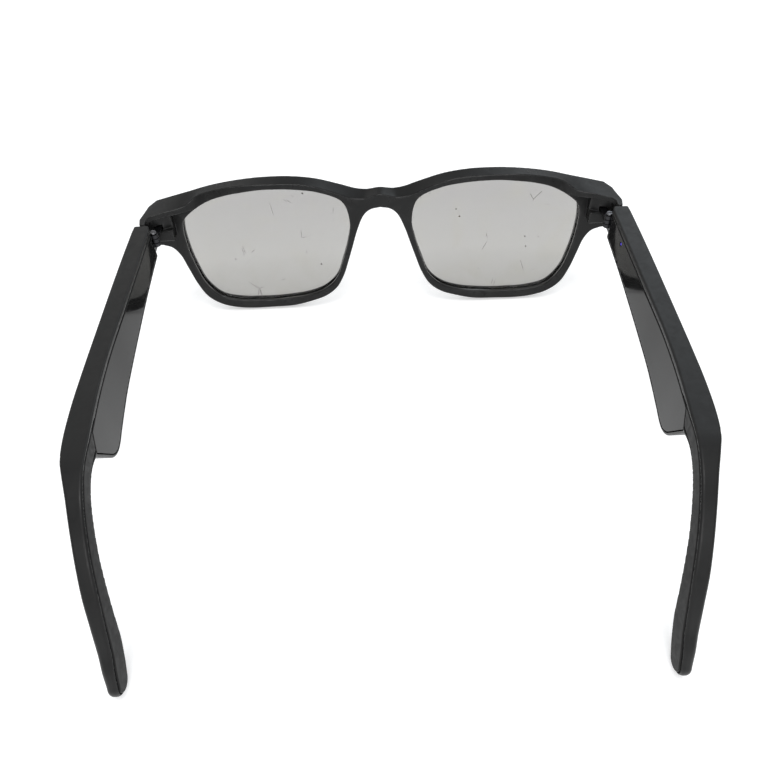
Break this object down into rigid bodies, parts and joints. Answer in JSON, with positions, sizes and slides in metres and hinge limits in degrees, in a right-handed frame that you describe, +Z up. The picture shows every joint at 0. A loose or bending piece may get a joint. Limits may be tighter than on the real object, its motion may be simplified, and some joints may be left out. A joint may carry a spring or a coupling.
{
  "type": "smart glasses",
  "caption": "Rectangular-lens smart glasses: a satin black front with tinted lenses and deep folding temples that hold audio electronics, each ending in a curved ear hook.",
  "frame": {"origin": "middle of the footprint, on the surface that the rims and ear hooks stand on", "axes": "+X the wearer's right, +Y forward, +Z up, with the flat tops of the temples level"},
  "size_m": [0.1488, 0.1404, 0.0458],
  "materials": {
    "satin_black": "satin moulded nylon",
    "gloss_black": "polished",
    "hook_black": "semi-gloss",
    "lens_tint": "polished, light grey tint",
    "hinge_steel": "satin",
    "gold_plate": "polished",
    "circuit_board": "solder mask",
    "foil": "satin",
    "flex_film": "smooth",
    "dark_plastic": "matte",
    "mesh_grey": "woven",
    "led_diffuser": "translucent"
  },
  "bodies": {
    "front": {"front_frame": "satin_black", "lens_right": "lens_tint", "frame_hinge_leaf_right": "hinge_steel", "hinge_screw_right": "hinge_steel", "lens_left": "lens_tint", "frame_hinge_leaf_left": "hinge_steel", "hinge_screw_left": "hinge_steel"},
    "temple_left": {"temple_inner_cover_left": "gloss_black", "temple_shell_left": "satin_black", "ear_hook_inlay_left": "hook_black", "ear_hook_core_left": "hinge_steel", "temple_hinge_leaf_left": "hinge_steel", "hinge_leaf_screw_front_left": "hinge_steel", "hinge_leaf_screw_rear_left": "hinge_steel", "touch_sensor_left": "flex_film", "main_board_left": "circuit_board", "radio_shield_left": "foil", "microphone_left": "foil", "antenna_left": "flex_film", "battery_cell_left": "foil", "speaker_driver_left": "dark_plastic", "speaker_mesh_left": "mesh_grey", "charging_contact_front_left": "gold_plate", "charging_contact_rear_left": "gold_plate"},
    "temple_right": {"temple_inner_cover_right": "gloss_black", "status_led_right": "led_diffuser", "temple_shell_right": "satin_black", "ear_hook_inlay_right": "hook_black", "ear_hook_core_right": "hinge_steel", "temple_hinge_leaf_right": "hinge_steel", "hinge_leaf_screw_front_right": "hinge_steel", "hinge_leaf_screw_rear_right": "hinge_steel", "touch_sensor_right": "flex_film", "main_board_right": "circuit_board", "radio_shield_right": "foil", "microphone_right": "foil", "antenna_right": "flex_film", "battery_cell_right": "foil", "speaker_driver_right": "dark_plastic", "speaker_mesh_right": "mesh_grey", "charging_contact_front_right": "gold_plate", "charging_contact_rear_right": "gold_plate"}
  },
  "joints": [
    {"name": "temple_left_fold", "type": "hinge", "parent": "front", "child": "temple_left", "pos_m": [-0.0693, 0.05467, 0.03461], "axis": [0, 0, 1], "range_deg": [0, 87]},
    {"name": "temple_right_fold", "type": "hinge", "parent": "front", "child": "temple_right", "pos_m": [0.0693, 0.05467, 0.03461], "axis": [0, 0, -1], "range_deg": [0, 78]}
  ]
}
